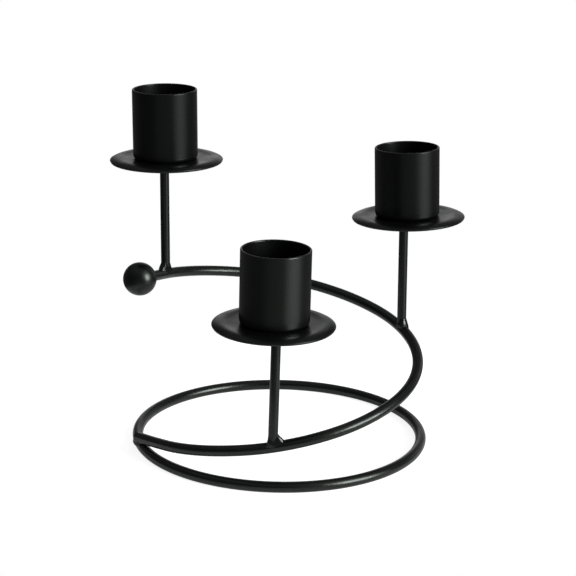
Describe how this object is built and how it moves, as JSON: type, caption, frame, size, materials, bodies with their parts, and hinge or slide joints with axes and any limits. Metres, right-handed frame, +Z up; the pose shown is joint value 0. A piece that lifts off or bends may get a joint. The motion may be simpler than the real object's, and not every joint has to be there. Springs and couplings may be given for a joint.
{
  "type": "spiral candle holder",
  "caption": "Black welded steel candle holder: a rod climbs in a spiral from a base ring and carries candle cups with drip pans at rising heights.",
  "frame": {"origin": "centre of the base ring, on the table that it stands on", "axes": "+Z up from the table; +X to the right and -Y to the front as the holder is seen in the picture, the rod climbing counter-clockwise from above"},
  "size_m": [0.1357, 0.1295, 0.1295],
  "materials": {
    "bar_coat": "satin black coat on round bar",
    "sheet_coat": "satin black coat on pressed sheet",
    "ball_coat": "satin black coat on a steel ball",
    "weld_coat": "satin black coat over weld metal"
  },
  "bodies": {
    "root": {"ball_weld": "weld_coat", "base_ring": "bar_coat", "candle_cup_front": "sheet_coat", "candle_cup_left": "sheet_coat", "candle_cup_right": "sheet_coat", "cup_weld_front": "weld_coat", "cup_weld_left": "weld_coat", "cup_weld_right": "weld_coat", "drip_pan_front": "sheet_coat", "drip_pan_left": "sheet_coat", "drip_pan_right": "sheet_coat", "end_ball": "ball_coat", "foot_weld_front": "weld_coat", "foot_weld_left": "weld_coat", "foot_weld_right": "weld_coat", "lap_weld": "weld_coat", "pan_weld_front": "weld_coat", "pan_weld_left": "weld_coat", "pan_weld_right": "weld_coat", "post_front": "bar_coat", "post_left": "bar_coat", "post_right": "bar_coat", "spiral_rod": "bar_coat"}
  },
  "joints": []
}
